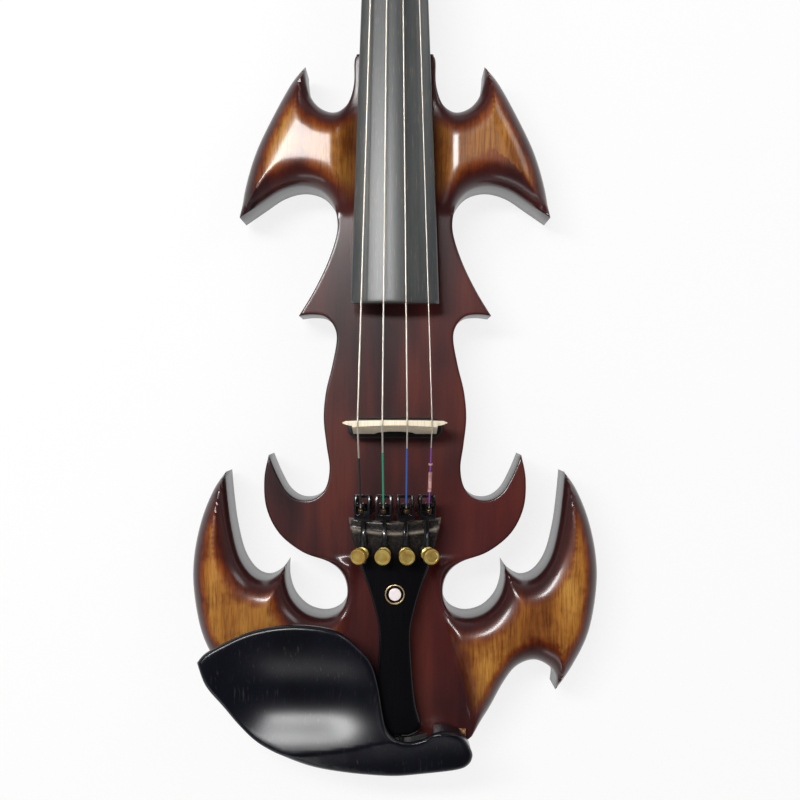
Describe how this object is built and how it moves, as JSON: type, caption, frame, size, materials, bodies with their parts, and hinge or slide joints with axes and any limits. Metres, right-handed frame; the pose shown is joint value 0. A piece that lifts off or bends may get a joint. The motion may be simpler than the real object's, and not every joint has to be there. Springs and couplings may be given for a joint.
{
  "type": "electric violin",
  "caption": "Electric violin with a carved solid body of bulging horned wings, set neck with scroll, bowed strings, fine tuners, centre chinrest and a back panel of controls.",
  "frame": {"origin": "centre of the bounding box at the level of the table that the instrument lies on", "axes": "+Y from the tail to the scroll, +X to the treble side, +Z out of the front"},
  "size_m": [0.1998, 0.6004, 0.0683],
  "materials": {
    "body_lacquer": "gloss lacquer, dark reddish brown burst over amber wood",
    "neck_maple": "satin lacquer",
    "ebony": "satin, oiled",
    "chinrest_ebony": "polished",
    "bridge_maple": "unfinished maple",
    "tailpiece_gloss": "high gloss black",
    "black_plastic": "satin",
    "brass": "polished, gold tint",
    "tuner_black": "gloss black",
    "pearl": "pearl",
    "string": "wound steel",
    "nickel": "nickel plate",
    "steel": "satin",
    "cork": "cork",
    "board_green": "solder mask",
    "battery_case": "satin",
    "lead_rubber": "matte"
  },
  "bodies": {
    "peg_g": {"peg_g": "ebony", "peg_winding_g": "string"},
    "peg_d": {"peg_d": "ebony", "peg_winding_d": "string"},
    "peg_a": {"peg_a": "ebony", "peg_winding_a": "string"},
    "peg_e": {"peg_e": "ebony", "peg_winding_e": "string"},
    "tuner_screw_g": {"tuner_screw_g": "brass"},
    "tuner_lever_g": {"tuner_lever_g": "tuner_black"},
    "tuner_screw_d": {"tuner_screw_d": "brass"},
    "tuner_lever_d": {"tuner_lever_d": "tuner_black"},
    "tuner_screw_a": {"tuner_screw_a": "brass"},
    "tuner_lever_a": {"tuner_lever_a": "tuner_black"},
    "tuner_screw_e": {"tuner_screw_e": "brass"},
    "tuner_lever_e": {"tuner_lever_e": "tuner_black"},
    "clamp_barrel_left": {"clamp_barrel_left": "nickel"},
    "clamp_barrel_right": {"clamp_barrel_right": "nickel"},
    "clamp_bracket": {"clamp_bracket": "nickel", "clamp_cork": "cork"},
    "volume_knob": {"volume_knob": "black_plastic"},
    "tone_knob": {"tone_knob": "black_plastic"},
    "battery_door": {"battery_door": "black_plastic"},
    "root": {"body": "body_lacquer", "fingerboard": "ebony", "nut": "ebony", "neck": "neck_maple", "bridge_pickup": "black_plastic", "bridge": "bridge_maple", "tailpiece": "tailpiece_gloss", "eye_ring": "brass", "eye_dot": "pearl", "tuner_frame_g": "tuner_black", "tuner_frame_d": "tuner_black", "tuner_frame_a": "tuner_black", "tuner_frame_e": "tuner_black", "string_g": "string", "string_d": "string", "string_a": "string", "string_e": "string", "saddle": "ebony", "endpin": "ebony", "tailgut": "black_plastic", "chinrest": "chinrest_ebony", "chinrest_cork_left": "cork", "chinrest_cork_right": "cork", "clamp_post_left": "nickel", "clamp_post_right": "nickel", "control_plate": "black_plastic", "tone_pot": "steel", "volume_pot": "steel", "plate_screw_tail": "nickel", "plate_screw_head": "nickel", "preamp_board": "board_green", "output_jack": "nickel", "battery": "battery_case", "battery_snap": "black_plastic", "pickup_lead": "lead_rubber", "battery_lead": "lead_rubber"}
  },
  "joints": [
    {"name": "peg_g_turn", "type": "hinge", "parent": "root", "child": "peg_g", "pos_m": [0, 0.21978, 0.02806], "axis": [1, 0, 0], "continuous": true},
    {"name": "peg_d_turn", "type": "hinge", "parent": "root", "child": "peg_d", "pos_m": [0, 0.24858, 0.02034], "axis": [1, 0, 0], "continuous": true},
    {"name": "peg_a_turn", "type": "hinge", "parent": "root", "child": "peg_a", "pos_m": [0, 0.26298, 0.01648], "axis": [1, 0, 0], "continuous": true},
    {"name": "peg_e_turn", "type": "hinge", "parent": "root", "child": "peg_e", "pos_m": [0, 0.23418, 0.0242], "axis": [1, 0, 0], "continuous": true},
    {"name": "tuner_screw_g_turn", "type": "hinge", "parent": "root", "child": "tuner_screw_g", "pos_m": [-0.0141, -0.19092, 0.05082], "axis": [0.2813, 0.1392, -0.9495], "range_deg": [0, 1080]},
    {"name": "tuner_lever_g_tilt", "type": "hinge", "parent": "root", "child": "tuner_lever_g", "pos_m": [-0.01393, -0.17013, 0.05023], "axis": [0.9588, 0, 0.284], "range_deg": [0, 4.5]},
    {"name": "tuner_screw_d_turn", "type": "hinge", "parent": "root", "child": "tuner_screw_d", "pos_m": [-0.0047, -0.19092, 0.05231], "axis": [0.0949, 0.1392, -0.9857], "range_deg": [0, 1080]},
    {"name": "tuner_lever_d_tilt", "type": "hinge", "parent": "root", "child": "tuner_lever_d", "pos_m": [-0.00464, -0.17013, 0.0517], "axis": [0.9954, 0, 0.0958], "range_deg": [0, 4.5]},
    {"name": "tuner_screw_a_turn", "type": "hinge", "parent": "root", "child": "tuner_screw_a", "pos_m": [0.0047, -0.19092, 0.05231], "axis": [-0.0949, 0.1392, -0.9857], "range_deg": [0, 1080]},
    {"name": "tuner_lever_a_tilt", "type": "hinge", "parent": "root", "child": "tuner_lever_a", "pos_m": [0.00464, -0.17013, 0.0517], "axis": [0.9954, 0, -0.0958], "range_deg": [0, 4.5]},
    {"name": "tuner_screw_e_turn", "type": "hinge", "parent": "root", "child": "tuner_screw_e", "pos_m": [0.0141, -0.19092, 0.05082], "axis": [-0.2813, 0.1392, -0.9495], "range_deg": [0, 1080]},
    {"name": "tuner_lever_e_tilt", "type": "hinge", "parent": "root", "child": "tuner_lever_e", "pos_m": [0.01393, -0.17013, 0.05023], "axis": [0.9588, 0, -0.284], "range_deg": [0, 4.5]},
    {"name": "clamp_barrel_left_turn", "type": "hinge", "parent": "root", "child": "clamp_barrel_left", "pos_m": [-0.024, -0.29342, 0.0186], "axis": [0, 0, 1], "range_deg": [0, 1080]},
    {"name": "clamp_barrel_right_turn", "type": "hinge", "parent": "root", "child": "clamp_barrel_right", "pos_m": [0.024, -0.29342, 0.0186], "axis": [0, 0, 1], "range_deg": [0, 1080]},
    {"name": "clamp_bracket_slide", "type": "slide", "parent": "root", "child": "clamp_bracket", "axis": [0, 0, -1], "range_m": [0, 0.0047]},
    {"name": "volume_knob_turn", "type": "hinge", "parent": "root", "child": "volume_knob", "pos_m": [0.009, -0.18022, 0.0121], "axis": [0, 0, -1], "range_deg": [-150, 150]},
    {"name": "tone_knob_turn", "type": "hinge", "parent": "root", "child": "tone_knob", "pos_m": [-0.009, -0.18022, 0.0121], "axis": [0, 0, -1], "range_deg": [-150, 150]},
    {"name": "battery_door_swing", "type": "hinge", "parent": "root", "child": "battery_door", "pos_m": [0, -0.22827, 0.0048], "axis": [1, 0, 0], "range_deg": [0, 84]}
  ],
  "couplings": [
    {"joint": "tuner_lever_g_tilt", "follows": "tuner_screw_g_turn", "ratio": 0.003882},
    {"joint": "tuner_lever_d_tilt", "follows": "tuner_screw_d_turn", "ratio": 0.003882},
    {"joint": "tuner_lever_a_tilt", "follows": "tuner_screw_a_turn", "ratio": 0.003882},
    {"joint": "tuner_lever_e_tilt", "follows": "tuner_screw_e_turn", "ratio": 0.003882},
    {"joint": "clamp_barrel_left_turn", "follows": "clamp_bracket_slide", "rad_per_m": 3927},
    {"joint": "clamp_barrel_right_turn", "follows": "clamp_bracket_slide", "rad_per_m": 3927}
  ]
}
